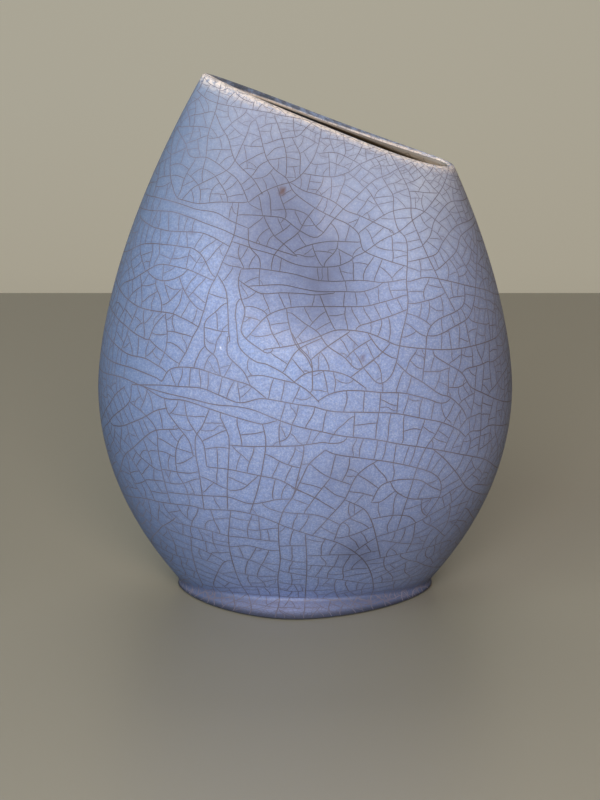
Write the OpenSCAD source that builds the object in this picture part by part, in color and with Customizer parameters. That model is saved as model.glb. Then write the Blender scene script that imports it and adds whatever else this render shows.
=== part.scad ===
// Pinched ceramic vase with a slanting slit mouth, a flared foot and a crackle glaze.
// Lengths are in millimetres. +Z is up, -Y is the front, and the origin is on the table
// under the middle of the body. The mouth's high end is at -X.

/* [Body] */
// Height of the mouth's high end above the table
height = 205.5; // [170:1:250]
// How far the mouth's low end lies below its high end
mouth_drop = 35.5; // [15:1:50]
// Width of the body at its widest level
belly_width = 161; // [135:0.5:190]
// Depth of the body at its deepest level
belly_depth = 124; // [100:1:150]
// Height of the widest level above the table
belly_height = 82; // [65:1:100]
// Width of the side outline at the level of the mouth's high end
crown_width = 76; // [60:1:100]

/* [Foot] */
// Height of the flared foot, from the table to the crease above it
foot_height = 3.2; // [2.4:0.2:8]
// Width of the foot's outline at the glaze's lower edge
foot_width = 101.4; // [85:0.2:120]
// Depth of the foot's outline at the glaze's lower edge
foot_depth = 75.2; // [62:0.2:90]
// Width of the crease between foot and body
crease_width = 100.6; // [85:0.2:120]
// Depth of the crease between foot and body
crease_depth = 50; // [44:0.5:75]
// Width of the standing ring, from the glazed side inwards
ring_width = 7.5; // [6.5:0.5:12]
// Bevel of the bare clay at the foot's lower edge
foot_bevel = 0.6; // [0.5:0.1:2.5]
// How far the soft corner at the front of the foot stands out
corner_reach = 0.7; // [0:0.1:4]
// Place of that corner to the left of the middle
corner_left = 7; // [0:0.5:20]
// Half width of that corner
corner_half_width = 14; // [6:0.5:25]

/* [Mouth] */
// Depth of the mouth from front to back, over its lips
mouth_depth = 25.5; // [18:0.5:32]
// How far the middle of the mouth line sags below a straight line
mouth_sag = 1.8; // [0:0.1:4]
// How far the outer edge of the lip is rounded down
edge_drop = 0.8; // [0.2:0.1:1.5]
// How far the lip slopes down to its inner edge
lip_slope = 1.5; // [0.2:0.1:2.5]
// Length over which the two lips are closed together at the high end
closed_end = 9; // [4:0.5:15]
// How much thinner the lip is at the low end, as a share of its thickness
low_end_thinning_share = 0.5; // [0:0.05:0.6]

/* [Walls and glazes] */
// Thickness of the clay wall at the foot
wall_foot = 5; // [3.5:0.1:7]
// Thickness of the clay wall at the lip
wall_lip = 2.6; // [1.8:0.1:3.2]
// Thickness of the clay floor
floor_thickness = 6; // [4:0.5:10]
// Thickness of the coloured glaze on the outside
glaze = 0.7; // [0.4:0.1:1]
// Thickness of the glaze on the lip, where it runs thin
lip_glaze_thickness = 0.35; // [0.2:0.05:0.6]
// Thickness of the pale glaze inside
liner = 0.5; // [0.3:0.1:0.8]
// Height of the coloured glaze's lower edge above the table
glaze_edge = 0.7; // [0.5:0.1:2]

/* [Front hollow] */
// Depth of the hollow pressed into the front
front_depth = 14.5; // [0:0.5:16]
// Distance of its deepest point from the middle, to the right
front_x = 8; // [-20:1:20]
// Height of its deepest point above the table
front_z = 147; // [120:1:160]
// Half width of the hollow
front_across = 28; // [12:1:35]
// Reach of the hollow above its deepest point
front_above = 36; // [15:1:50]
// Reach of the hollow below its deepest point
front_below = 20; // [8:1:35]
// Lean of the hollow to the left, in degrees
front_lean = 6; // [0:1:45]

/* [Back hollow] */
// Depth of the hollow pressed into the back
back_depth = 4.5; // [0:0.5:10]
// Distance of its deepest point from the middle, to the right
back_x = 0; // [-20:1:20]
// Height of its deepest point above the table
back_z = 143; // [120:1:160]
// Half width of the hollow
back_across = 26; // [12:1:35]
// Reach of the hollow above its deepest point
back_above = 34; // [15:1:50]
// Reach of the hollow below its deepest point
back_below = 22; // [8:1:30]
// Lean of the hollow to the left, in degrees
back_lean = 10; // [0:1:45]

/* [Hidden] */

// Columns round the vase, and rows up each surface
column_count = 64;
foot_row_count = 3;
body_row_count = 24;
inner_row_count = 21;

// Powers of the curves of the side outline and of the depth, below and above the belly
outline_power_low = 2.03;
outline_power_high = 1.66;
depth_power_low = 2;
depth_power_high = 2.2;
flare_power = 1.3;
// Share of the way up at which the body is deepest
deepest_share = 0.42;
// How much deeper the mouth is towards its low end
mouth_skew_share = 0.54;
// Fullness of the mouth's two ends
high_end_power = 0.9;
low_end_power = 0.8;
// How quickly the lip gets thinner towards the low end
thinning_power = 4;
// How much more the mouth line sags towards its low end
sag_skew_share = 0.6;
// How much flatter the foot is on the right of its front, and how fast it flares towards the front
foot_skew_share = 0.25;
foot_power = 2.1;
// Places on the lip as shares of its thickness: its crown, and the row inside that
crown_share = 0.3;
shoulder_share = 0.65;
inner_slope_power = 1.5;
// Step for slopes, as a share of the height, and rounds taken to find the mouth's height
probe_share = 0.001;
round_count = 10;

lip_thickness = glaze + wall_lip + liner;
floor_top = foot_height + floor_thickness;
probe = probe_share * height;
angles = [for (i = [0 : column_count - 1]) 360 * i / column_count];

clay_colour = [0.80, 0.70, 0.60];
blue_colour = [0.46, 0.54, 0.76];
lip_colour = [0.66, 0.66, 0.72];
cream_colour = [0.85, 0.79, 0.70];

// Half the width of the body at height z
function half_width(z) =
    z < belly_height
        ? belly_width / 2 - (belly_width - crease_width) / 2
            * pow((belly_height - max(z, foot_height)) / (belly_height - foot_height), outline_power_low)
        : belly_width / 2 - (belly_width - crown_width) / 2
            * pow((z - belly_height) / (height - belly_height), outline_power_high);

// Half the depth of the body at a share w of the way from the crease to the mouth
function half_depth(w) =
    w < deepest_share
        ? belly_depth / 2 - (belly_depth - crease_depth) / 2
            * pow((deepest_share - w) / deepest_share, depth_power_low)
        : belly_depth / 2 - (belly_depth - mouth_depth) / 2
            * pow((w - deepest_share) / (1 - deepest_share), depth_power_high);

// The factor by which a sloping wall is thicker when it is measured level
function level_factor(run, rise) = sqrt(1 + pow(run / rise, 2));
function width_factor(z) = level_factor(half_width(z + probe) - half_width(z - probe), 2 * probe);
function depth_factor(w) =
    level_factor(half_depth(min(w + probe_share, 1)) - half_depth(max(w - probe_share, 0)),
        (min(w + probe_share, 1) - max(w - probe_share, 0)) * (height - mouth_drop / 2));

// Height of the mouth line above the table at x
high_x = -crown_width / 2;
low_x = half_width(height - mouth_drop);
function mouth_z(x) =
    let (c = (2 * x - high_x - low_x) / (low_x - high_x))
    height - mouth_drop * (1 + c) / 2 - mouth_sag * (1 - c * c) * (1 + sag_skew_share * c);

// The lip's thickness at column angle a as a share, and the depth d of a layer near the lip after that
function end_share(a) = 1 - low_end_thinning_share * pow(max(0, cos(a)), thinning_power);
function thinned(a, d, w) = d - max(0, d - glaze) * (1 - end_share(a)) * pow(w, 4);

// How far a layer at depth d into the wall is drawn in from the side outline
function closing(d) = closed_end * max(0, d - glaze) / (lip_thickness - glaze);
function pinch(w) = pow(max(0, w - deepest_share) / (1 - deepest_share), 2);
function side_inset(a, d, w, z) =
    thinned(a, d, w) * width_factor(z) + (cos(a) < 0 ? closing(d) * pow(w, 4) : 0);
function layer_x(a, d, w, z) = (half_width(z) - side_inset(a, d, w, z)) * cos(a);

// Height of the mouth at column angle a for a layer at depth d, found by repeated tries
function top_z(a, d, z, rounds) =
    rounds < 1 ? z : top_z(a, d, mouth_z(layer_x(a, d, 1, z)), rounds - 1);
function mouth_top(a, d) = top_z(a, d, height - mouth_drop / 2, round_count);
tops = [for (a = angles) mouth_top(a, 0)];

// A pressed hollow: a rounded bump with its own reach above and below, leaning to the left
function hollow(x, z, deep, cx, cz, across, above, below, lean) =
    let (
        u = (x - cx) * cos(lean) + (z - cz) * sin(lean),
        v = (z - cz) * cos(lean) - (x - cx) * sin(lean)
    )
    deep * exp(-pow(u / across, 2) - pow(v / (v > 0 ? above : below), 2));
function front_hollow(x, z) =
    hollow(x, z, front_depth, front_x, front_z, front_across, front_above, front_below, front_lean);
function back_hollow(x, z) =
    hollow(x, z, back_depth, back_x, back_z, back_across, back_above, back_below, back_lean);

// A point above the crease: column i, height z, depth d into the wall
function body_point(i, z, d) =
    let (
        a = angles[i],
        w = min(1, (z - foot_height) / (tops[i] - foot_height)),
        s = abs(sin(a)),
        x = layer_x(a, d, w, z),
        end_power = low_end_power + (high_end_power - low_end_power) * (1 - cos(a)) / 2,
        reach = half_depth(w) * (1 + pinch(w) * mouth_skew_share * cos(a))
            - thinned(a, d, w) * depth_factor(w),
        y = reach * pow(s, 1 + (end_power - 1) * pinch(w))
    )
    sin(a) < 0 ? [x, -y + s * front_hollow(x, z), z] : [x, y - s * back_hollow(x, z), z];

// A point of the flared foot at height z: the crease's point moved out
function foot_point(i, z, d) =
    let (
        p = body_point(i, foot_height, d),
        a = angles[i],
        flare = pow(min(1, (foot_height - z) / (foot_height - glaze_edge)), flare_power),
        corner = sin(a) < 0 ? corner_reach * exp(-pow((p.x + corner_left) / corner_half_width, 2)) : 0,
        out = sign(sin(a)) * pow(abs(sin(a)), foot_power) * (1 - foot_skew_share * cos(a))
    )
    [
        p.x + flare * (foot_width - crease_width) / 2 * cos(a),
        p.y + flare * ((foot_depth - crease_depth) / 2 * out - corner),
        z
    ];

// Rings of points, one point for each column
last = column_count - 1;
function level_ring(z, d) = [for (i = [0 : last]) body_point(i, z, d)];
function foot_ring_at(z, d) = [for (i = [0 : last]) foot_point(i, z, d)];
function rim(a, d, drop) = mouth_top(a, d) - drop * end_share(a);
function lip_ring(d, drop) = [for (i = [0 : last]) body_point(i, rim(angles[i], d, drop), d)];

// The wall gets thinner from the floor to the lip, and all other layers keep their depth
function wall_at(w) = wall_foot + (wall_lip - wall_foot) * w;
function inner_point(i, z, extra) =
    body_point(i, z, glaze + extra + wall_at(min(1, (z - foot_height) / (tops[i] - foot_height))));

// Rows of the outer side from the crease to the lip's outer edge, at depth d
function outer_side(d, drop) =
    let (rises = [for (a = angles) (rim(a, d, drop) - foot_height) / body_row_count])
    [for (r = [0 : body_row_count])
        [for (i = [0 : last]) body_point(i, foot_height + rises[i] * r, d)]];

// Rows of the inner side from a floor level to the lip's inner edge
function inner_side(floor_z, extra, drop) =
    let (ends = [for (a = angles) rim(a, glaze + wall_lip + extra, drop)])
    [for (r = [0 : inner_row_count])
        [for (i = [0 : last]) inner_point(i, floor_z + (ends[i] - floor_z) * r / inner_row_count, extra)]];

// How far the lip lies below the mouth line at a share s of its thickness
function lip_drop(s) =
    s < crown_share
        ? edge_drop * pow(1 - s / crown_share, 2)
        : lip_slope * pow((s - crown_share) / (1 - crown_share), inner_slope_power);
function lip_row(s, extra) = lip_ring(s * lip_thickness, lip_drop(s) + extra);
clay_crown = lip_row(crown_share, lip_glaze_thickness);
clay_shoulder = lip_row(shoulder_share, lip_glaze_thickness);

foot_rise = (foot_height - glaze_edge) / foot_row_count;
foot_levels = [for (r = [0 : foot_row_count - 1]) glaze_edge + foot_rise * r];
function foot_side(d) = [for (z = foot_levels) foot_ring_at(z, d)];
clay_side = outer_side(glaze, edge_drop + lip_glaze_thickness);
bare_side = inner_side(floor_top, 0, lip_slope + lip_glaze_thickness);
lined_side = inner_side(floor_top + liner, liner, lip_slope);

// Faces of the strip between two rings that start at points a and b, seen from outside
function strip(a, b) =
    [for (i = [0 : last])
        let (j = (i + 1) % column_count)
        each [[a + i, b + i, b + j], [a + i, b + j, a + j]]];
function turned(faces) = [for (f = faces) [f[0], f[2], f[1]]];
function strips(first, rows) =
    [for (r = [0 : rows - 2]) each strip(first + r * column_count, first + (r + 1) * column_count)];

// Solid between an outer and an inner surface, each a list of rings from bottom to top.
// Its bottom is an open ring, or two discs where the surfaces are bags.
module shell(outer, inner, bag = false) {
    start = len(outer) * column_count;
    outer_top = start - column_count;
    inner_top = start + (len(inner) - 1) * column_count;
    discs = [[for (i = [0 : last]) i], [for (i = [last : -1 : 0]) start + i]];
    polyhedron(
        points = [each each outer, each each inner],
        faces = [
            each strips(0, len(outer)),
            each turned(strips(start, len(inner))),
            each strip(outer_top, inner_top),
            each (bag ? discs : turned(strip(0, start)))
        ],
        convexity = 10
    );
}

// Solid stack of rings with a flat disc at each end
module stack(rings) {
    top = (len(rings) - 1) * column_count;
    polyhedron(
        points = [each each rings],
        faces = [
            each strips(0, len(rings)),
            [for (i = [0 : last]) i],
            [for (i = [last : -1 : 0]) top + i]
        ],
        convexity = 4
    );
}

// Flared clay ring that the vase stands on
module foot_ring() {
    color(clay_colour)
        shell(
            [foot_ring_at(0, glaze + foot_bevel), each foot_side(glaze), level_ring(foot_height, glaze)],
            [foot_ring_at(0, ring_width), level_ring(foot_height, ring_width)]
        );
}

// Clay disc that closes the bottom, inside the wall
module base_floor() {
    color(clay_colour)
        stack([for (z = [foot_height, floor_top]) [for (i = [0 : last]) inner_point(i, z, 0)]]);
}

// Clay wall from the foot to the lip
module body_wall() {
    color(clay_colour)
        shell(
            [each clay_side, clay_crown, clay_shoulder],
            [[for (i = [0 : last]) inner_point(i, foot_height, 0)], each bare_side]
        );
}

// Coloured crackle glaze over the foot and the wall
module outer_glaze() {
    color(blue_colour)
        shell(
            [each foot_side(0), each outer_side(0, edge_drop)],
            [each foot_side(glaze), each clay_side]
        );
}

// Thin glaze over the cut lip
module lip_glaze() {
    color(lip_colour)
        shell(
            [
                lip_row(0, 0), lip_row(crown_share, 0), lip_row(shoulder_share, 0),
                lined_side[inner_row_count]
            ],
            [clay_side[body_row_count], clay_crown, clay_shoulder, bare_side[inner_row_count]]
        );
}

// Pale glaze over the floor and the inside of the wall
module liner_glaze() {
    color(cream_colour) shell(bare_side, lined_side, bag = true);
}

foot_ring();
base_floor();
body_wall();
outer_glaze();
lip_glaze();
liner_glaze();
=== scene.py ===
"""Crackle vase: the finished surfaces of a pinched ceramic vase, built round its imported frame."""
import math

import bpy
import numpy as np
from bpy.props import FloatProperty, FloatVectorProperty, IntProperty, PointerProperty
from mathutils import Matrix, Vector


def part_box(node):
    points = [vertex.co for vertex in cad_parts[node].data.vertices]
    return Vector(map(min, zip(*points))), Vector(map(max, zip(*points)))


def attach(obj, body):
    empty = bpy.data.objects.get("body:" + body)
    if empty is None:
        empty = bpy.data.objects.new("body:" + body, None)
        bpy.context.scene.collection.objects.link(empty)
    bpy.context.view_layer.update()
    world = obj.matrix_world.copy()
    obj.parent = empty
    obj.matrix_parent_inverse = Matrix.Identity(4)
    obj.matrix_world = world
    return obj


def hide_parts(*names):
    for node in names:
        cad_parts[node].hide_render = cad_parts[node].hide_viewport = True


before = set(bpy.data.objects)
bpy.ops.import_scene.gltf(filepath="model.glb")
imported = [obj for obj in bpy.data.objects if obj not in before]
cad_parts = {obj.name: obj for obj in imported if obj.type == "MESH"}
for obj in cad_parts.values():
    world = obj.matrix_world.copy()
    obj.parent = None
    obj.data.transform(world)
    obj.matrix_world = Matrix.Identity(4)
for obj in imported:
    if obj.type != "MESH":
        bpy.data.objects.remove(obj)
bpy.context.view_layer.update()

bl_info = {
    "name": "Crackle vase",
    "version": (1, 0, 0),
    "blender": (4, 5, 0),
    "location": "View3D > Sidebar > Vase",
    "description": "Clay, glazes, craze lines and stage of a pinched ceramic vase",
    "category": "Add Mesh",
}

GLAZE_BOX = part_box("outer_glaze")
BODY = "root"
MM = 0.001
TINY = 1e-12  # keeps a division by a length from failing
CLAY_COLUMNS = 320
CREASE_REACH = 2.4  # rows of the glaze over which the crease is rounded
FINE_ROWS = 24  # rows of the glaze, from the foot up, of which every one is kept

# Numbers of the growing cracks, in metres
CHOSEN_SPACING, LINE_SPACING = 0.0009, 0.0007  # between spots of a main line, as drawn and as laid on the glaze
REACH = 0.016  # longest distance to a crack that the field keeps
NEAR = 0.0045  # distance at which a crack starts to turn towards the next one
TOUCH = 0.0007  # distance at which it ends there
JOIN = 0.0016  # distance at which the end of a main line joins the next one
ARM_ROOM = 0.004  # room round a main line that is grown on
TAPER = 0.0015  # length over which a line gets thin at its ends
SHARPEST_BEND = 60.0  # one over the smallest radius of a crack
CURL, CROSS_CURL = 0.25, 0.2  # bend of a crack, over its room
LONG, LONGEST = 1.9, 2.6  # how much longer than wide a cell is that is split across: drawn between these
OFF_MIDDLE = 0.3  # least distance from the end of a cell to such a split, as a share of the length
NARROWEST = 0.0012  # least width of such a cell
TURNS = 8  # directions in which the length of a cell is measured
SHORT_TURNS = 12  # directions out of which a new crack takes the shortest
MOST_CRACKS = 9000


# Sizes and colours that a user would change

def length(default, description, low=0.0):
    """A length property in metres."""
    return FloatProperty(default=default, description=description, min=low, max=1.0,
                         subtype="DISTANCE", unit="LENGTH", precision=5)


def share(default, description, limit=10.0):
    """A plain number property: a share, a power, a factor or an angle in degrees."""
    return FloatProperty(default=default, description=description, min=-limit, max=limit, precision=3)


def colour(default, description):
    """A colour property, in linear values."""
    return FloatVectorProperty(default=default, description=description, size=3, min=0.0, max=1.0, subtype="COLOR")


class VaseSizes(bpy.types.PropertyGroup):
    """Sizes of the vase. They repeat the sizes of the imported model."""
    height: length(0.2055, "Height of the mouth's high end")
    mouth_drop: length(0.0355, "How far the mouth's low end lies below its high end")
    belly_width: length(GLAZE_BOX[1][0] - GLAZE_BOX[0][0], "Width at the widest level")
    belly_depth: length(0.124, "Depth at the deepest level")
    belly_height: length(0.082, "Height of the widest level")
    crown_width: length(0.076, "Width of the side outline at the mouth's high end")
    foot_height: length(0.0032, "Height of the flared foot")
    foot_width: length(0.1014, "Width of the foot at the glaze's lower edge")
    foot_depth: length(0.0752, "Depth of the foot at the glaze's lower edge")
    crease_width: length(0.1006, "Width of the crease over the foot")
    crease_depth: length(0.05, "Depth of the crease over the foot")
    ring_width: length(0.0075, "Width of the standing ring")
    foot_bevel: length(0.0006, "Bevel of the bare clay at the lower edge")
    corner_reach: length(0.0007, "How far the soft corner of the foot stands out")
    corner_left: length(0.007, "Place of that corner left of the middle")
    corner_half_width: length(0.014, "Half width of that corner")
    mouth_depth: length(0.0255, "Depth of the mouth over its lips")
    mouth_sag: length(0.0018, "Sag of the mouth line")
    edge_drop: length(0.0008, "Rounding of the lip's outer edge")
    lip_slope: length(0.0015, "Slope of the lip to its inner edge")
    closed_end: length(0.009, "Length over which the lips meet at the high end")
    low_end_thinning_share: share(0.5, "How much thinner the lip is at the low end")
    thinning_power: share(4.0, "How quickly the lip gets thinner towards the low end")
    wall_foot: length(0.005, "Thickness of the clay at the foot")
    wall_lip: length(0.0026, "Thickness of the clay at the lip")
    floor_thickness: length(0.006, "Thickness of the clay floor")
    glaze: length(0.0007, "Thickness of the coloured glaze")
    lip_glaze_thickness: length(0.00035, "Thickness of the glaze on the lip")
    liner: length(0.0005, "Thickness of the pale glaze inside")
    glaze_edge: length(0.0007, "Height of the coloured glaze's lower edge")
    outline_power_low: share(2.03, "Curve of the side outline under the belly")
    outline_power_high: share(1.66, "Curve of the side outline over the belly")
    depth_power_low: share(2.0, "Curve of the depth under the belly")
    depth_power_high: share(2.2, "Curve of the depth over the belly")
    flare_power: share(1.3, "Curve of the foot's flare")
    deepest_share: share(0.42, "Share of the way up at which the body is deepest")
    mouth_skew_share: share(0.54, "How much deeper the mouth is at its low end")
    high_end_power: share(0.9, "Fullness of the mouth's high end")
    low_end_power: share(0.8, "Fullness of the mouth's low end")
    sag_skew_share: share(0.6, "How much more the mouth line sags towards its low end")
    foot_skew_share: share(0.25, "How much flatter the foot is on its right")
    foot_power: share(2.1, "How fast the foot flares towards the front")
    crown_share: share(0.3, "Place of the lip's crown across its thickness")
    slope_power: share(1.5, "Curve of the lip inside its crown")
    columns: IntProperty(description="Columns of the glaze's fine grid", default=640, min=64)
    rows: IntProperty(description="Rows of the glaze's fine grid on the body", default=270, min=30)


class HollowSizes(bpy.types.PropertyGroup):
    """Sizes of the two hollows that were pressed into the soft clay."""
    front_depth: length(0.0145, "Depth of the front hollow")
    front_x: length(0.008, "Its place to the right", -1.0)
    front_z: length(0.147, "Its height")
    front_across: length(0.028, "Its half width")
    front_above: length(0.036, "Its reach above its middle")
    front_below: length(0.020, "Its reach below its middle")
    front_lean: share(6.0, "Its lean, in degrees", 90.0)
    back_depth: length(0.0045, "Depth of the back hollow")
    back_x: length(0.0, "Its place to the right", -1.0)
    back_z: length(0.143, "Its height")
    back_across: length(0.026, "Its half width")
    back_above: length(0.034, "Its reach above its middle")
    back_below: length(0.022, "Its reach below its middle")
    back_lean: share(10.0, "Its lean, in degrees", 90.0)


class VaseFinish(bpy.types.PropertyGroup):
    """Colours of the clay, the glazes and the stage."""
    blue: colour((0.284, 0.352, 0.615), "Main colour of the outside")
    violet: colour((0.295, 0.325, 0.500), "Greyer patches of the outside")
    # painted light: brighter blue where the bulges beside the hollow catch light
    bright: colour((0.370, 0.470, 0.800), "Brighter patches of the outside")
    pale: colour((0.470, 0.500, 0.630), "Where the glaze runs thin under the lip")
    # painted shade in the hollow, partly a darker glaze
    shadow_violet: colour((0.135, 0.150, 0.250), "Dark patches in the hollow")
    slate: colour((0.070, 0.085, 0.120), "Glaze on the lip at its high end")
    cream: colour((0.860, 0.740, 0.680), "Where the glaze breaks over an edge")
    # painted shade deep inside the mouth
    umber: colour((0.016, 0.013, 0.010), "Pale glaze where it pools below the lip")
    lilac: colour((0.300, 0.310, 0.480), "Glaze on the foot")
    stain: colour((0.158, 0.134, 0.164), "Craze lines")
    pale_stain: colour((0.228, 0.218, 0.296), "Craze lines where they are faint")
    liner: colour((0.850, 0.690, 0.530), "Glaze inside")
    # painted darker than the clay itself, so that its bevel under the glaze reads as the contact shadow
    clay: colour((0.060, 0.045, 0.035), "Bare clay")
    floor: colour((0.270, 0.250, 0.205), "Floor")
    wall: colour((0.700, 0.650, 0.520), "Backdrop")


class VaseCrackle(bpy.types.PropertyGroup):
    """Numbers of the craze lines."""
    seed: IntProperty(description="Start of the random draws", default=7)
    width: length(0.00036, "Width of the main craze lines")
    lift: length(0.00002, "How far a line's face lies over the glaze")
    keel: length(0.00012, "How far a line reaches into the glaze")
    step: length(0.0006, "Length of one step of a growing crack")
    cell: length(0.0029, "Half width of a middling cell")


def sizes():
    """The size settings of the scene."""
    return bpy.context.scene.vase_sizes


def finish():
    """The colour settings of the scene."""
    return bpy.context.scene.vase_finish


def ramp(value, start, reach):
    """Rises evenly from 0 at start to 1 at a reach beyond it."""
    return np.clip((value - start) / reach, 0, 1)


def bell(value, reach, power=2):
    """A bell curve: 1 where the value is 0, and near 0 a few reaches away."""
    return np.exp(-(value / reach) ** power)


# The shape of the vase: each function takes whole arrays, in metres

def bulge(place, start, middle, end, bottom, widest, top, power_low, power_high):
    """Half a size along the way up: the widest, less a power of the distance from the middle."""
    low = np.clip((middle - np.maximum(place, start)) / (middle - start), 0, None)
    high = np.clip((place - middle) / (end - middle), 0, None)
    return widest / 2 - (widest / 2 - bottom / 2) * low ** power_low - (widest / 2 - top / 2) * high ** power_high


def half_width(z):
    """Half the body's width at height z."""
    s = sizes()
    return bulge(z, s.foot_height, s.belly_height, s.height, s.crease_width, s.belly_width, s.crown_width,
                 s.outline_power_low, s.outline_power_high)


def half_depth(w):
    """Half the body's depth at a share w of the way up."""
    s = sizes()
    return bulge(w, 0, s.deepest_share, 1, s.crease_depth, s.belly_depth, s.mouth_depth,
                 s.depth_power_low, s.depth_power_high)


def width_factor(z):
    """How much thicker a wall on the side outline is when it is measured level."""
    probe = sizes().height * MM
    return np.hypot(1, (half_width(z + probe) - half_width(z - probe)) / (2 * probe))


def depth_factor(w):
    """How much thicker a wall on the depth's curve is when it is measured level."""
    s = sizes()
    high, low = np.minimum(w + MM, 1), np.maximum(w - MM, 0)
    return np.hypot(1, (half_depth(high) - half_depth(low)) / ((high - low) * (s.height - s.mouth_drop / 2)))


def mouth_height(x):
    """Height of the mouth line at x: a straight slant less a shallow sag."""
    s = sizes()
    high_x, low_x = -s.crown_width / 2, half_width(s.height - s.mouth_drop)
    c = (2 * x - high_x - low_x) / (low_x - high_x)
    return s.height - s.mouth_drop * (1 + c) / 2 - s.mouth_sag * (1 - c * c) * (1 + s.sag_skew_share * c)


def end_share(a):
    """The lip's thickness at column angle a, as a share: it gets thinner towards the low end."""
    s = sizes()
    return 1 - s.low_end_thinning_share * np.clip(np.cos(a), 0, None) ** s.thinning_power


def thinned(a, d, w):
    """The depth d of a layer, less where the lip is thinner."""
    return d - np.clip(d - sizes().glaze, 0, None) * (1 - end_share(a)) * w ** 4


def rim(a, d, drop):
    """Height of the lip at column angle a and depth d, a drop below the mouth line."""
    return mouth_top(a, d) - drop * end_share(a)


def layer_x(a, d, w, z):
    """The x of a layer at depth d into the wall, at column angle a, share w and height z."""
    s = sizes()
    thick = s.glaze + s.wall_lip + s.liner
    closing = s.closed_end * np.clip(d - s.glaze, 0, None) / (thick - s.glaze)
    inset = thinned(a, d, w) * width_factor(z) + np.where(np.cos(a) < 0, closing * w ** 4, 0)
    return (half_width(z) - inset) * np.cos(a)


def mouth_top(a, d):
    """Height of the mouth at column angle a for a layer at depth d, found by repeated tries."""
    s = sizes()
    z = np.full(np.broadcast(a, d).shape, s.height - s.mouth_drop / 2)
    for _ in range(10):
        z = mouth_height(layer_x(a, d, 1.0, z))
    return z


def share_up(a, z):
    """The share of the way from the crease up to the mouth, at column angle a and height z."""
    low = sizes().foot_height
    return np.minimum(1, (z - low) / (mouth_top(a, 0.0) - low))


def hollow(x, z, side):
    """A pressed hollow: a rounded bump with its own reach above and below, leaning to the left."""
    h = bpy.context.scene.vase_hollows
    deep, cx, cz, across, above, below, lean = (
        getattr(h, side + "_" + name) for name in ("depth", "x", "z", "across", "above", "below", "lean"))
    turn = math.radians(lean)
    u = (x - cx) * math.cos(turn) + (z - cz) * math.sin(turn)
    v = (z - cz) * math.cos(turn) - (x - cx) * math.sin(turn)
    return deep * np.exp(-(u / across) ** 2 - (v / np.where(v > 0, above, below)) ** 2)


def body_point(a, z, d):
    """Points above the crease: a squashed ring at each height, drawn in by depth d and pressed in by the hollows."""
    s = sizes()
    a, z, d = np.broadcast_arrays(a, z, d)
    w = share_up(a, z)
    side, c = np.abs(np.sin(a)), np.cos(a)
    pinch = (np.clip(w - s.deepest_share, 0, None) / (1 - s.deepest_share)) ** 2
    power = s.low_end_power + (s.high_end_power - s.low_end_power) * (1 - c) / 2
    x = layer_x(a, d, w, z)
    reach = half_depth(w) * (1 + pinch * s.mouth_skew_share * c) - thinned(a, d, w) * depth_factor(w)
    y = reach * side ** (1 + (power - 1) * pinch)
    y = np.where(np.sin(a) < 0, side * hollow(x, z, "front") - y, y - side * hollow(x, z, "back"))
    return np.stack([x, y, z], -1)


def foot_point(a, z, d):
    """Points of the flared foot: the crease's point, moved out by a power of the distance below the crease."""
    s = sizes()
    a, z, d = np.broadcast_arrays(a, z, d)
    x, y, _ = np.moveaxis(body_point(a, np.full(z.shape, s.foot_height), d), -1, 0)
    flare = np.clip((s.foot_height - z) / (s.foot_height - s.glaze_edge), 0, 1) ** s.flare_power
    out = np.sign(np.sin(a)) * np.abs(np.sin(a)) ** s.foot_power * (1 - s.foot_skew_share * np.cos(a))
    corner = np.where(np.sin(a) < 0, s.corner_reach * bell(x + s.corner_left, s.corner_half_width), 0)
    x = x + flare * (s.foot_width - s.crease_width) / 2 * np.cos(a)
    y = y + flare * ((s.foot_depth - s.crease_depth) / 2 * out - corner)
    return np.stack([x, y, z], -1)


def angles(count):
    """Column angles, as one row."""
    return (np.arange(count) * (2 * math.pi / count))[None, :]


def rows_between(count):
    """Shares from 0 to 1, as one column."""
    return np.linspace(0, 1, count + 1)[:, None]


def outer_rows(columns, rows, d, drop):
    """Rows from the crease up to the lip's outer edge, at depth d."""
    a, low = angles(columns), sizes().foot_height
    return body_point(a, low + (rim(a, d, drop) - low) * rows_between(rows), d)


def inner_rows(columns, rows, start, extra, drop):
    """Rows of the inner side from height start up to the lip, through a wall that gets thinner upwards."""
    s = sizes()
    a = angles(columns)
    top = rim(a, s.glaze + s.wall_lip + extra, drop)
    z = start + (top - start) * rows_between(rows)
    return body_point(a, z, s.glaze + extra + s.wall_foot + (s.wall_lip - s.wall_foot) * share_up(a, z))


def foot_rows(columns, rows, d):
    """Rows of the flared foot from the glaze's lower edge up to just under the crease, at depth d."""
    s = sizes()
    z = s.glaze_edge + (s.foot_height - s.glaze_edge) * rows_between(rows)[:-1]
    return foot_point(angles(columns), z, d)


def lip_drop(share_in):
    """How far the lip lies below the mouth line, by the share of its thickness: rounded, then sloping in."""
    s = sizes()
    edge = s.edge_drop * np.clip(1 - share_in / s.crown_share, 0, 1) ** 2
    return edge + s.lip_slope * ramp(share_in, s.crown_share, 1 - s.crown_share) ** s.slope_power


def lip_rows(columns, rows, under):
    """Rows across the lip from its outer to its inner edge, lowered by under."""
    s = sizes()
    a, t = angles(columns), rows_between(rows)
    edge = under * s.glaze / s.lip_glaze_thickness
    d = edge + (s.glaze + s.wall_lip + s.liner * (1 - under / s.lip_glaze_thickness) - edge) * t
    return body_point(a, rim(a, d, lip_drop(d / (s.glaze + s.wall_lip + s.liner)) + under), d)


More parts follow.
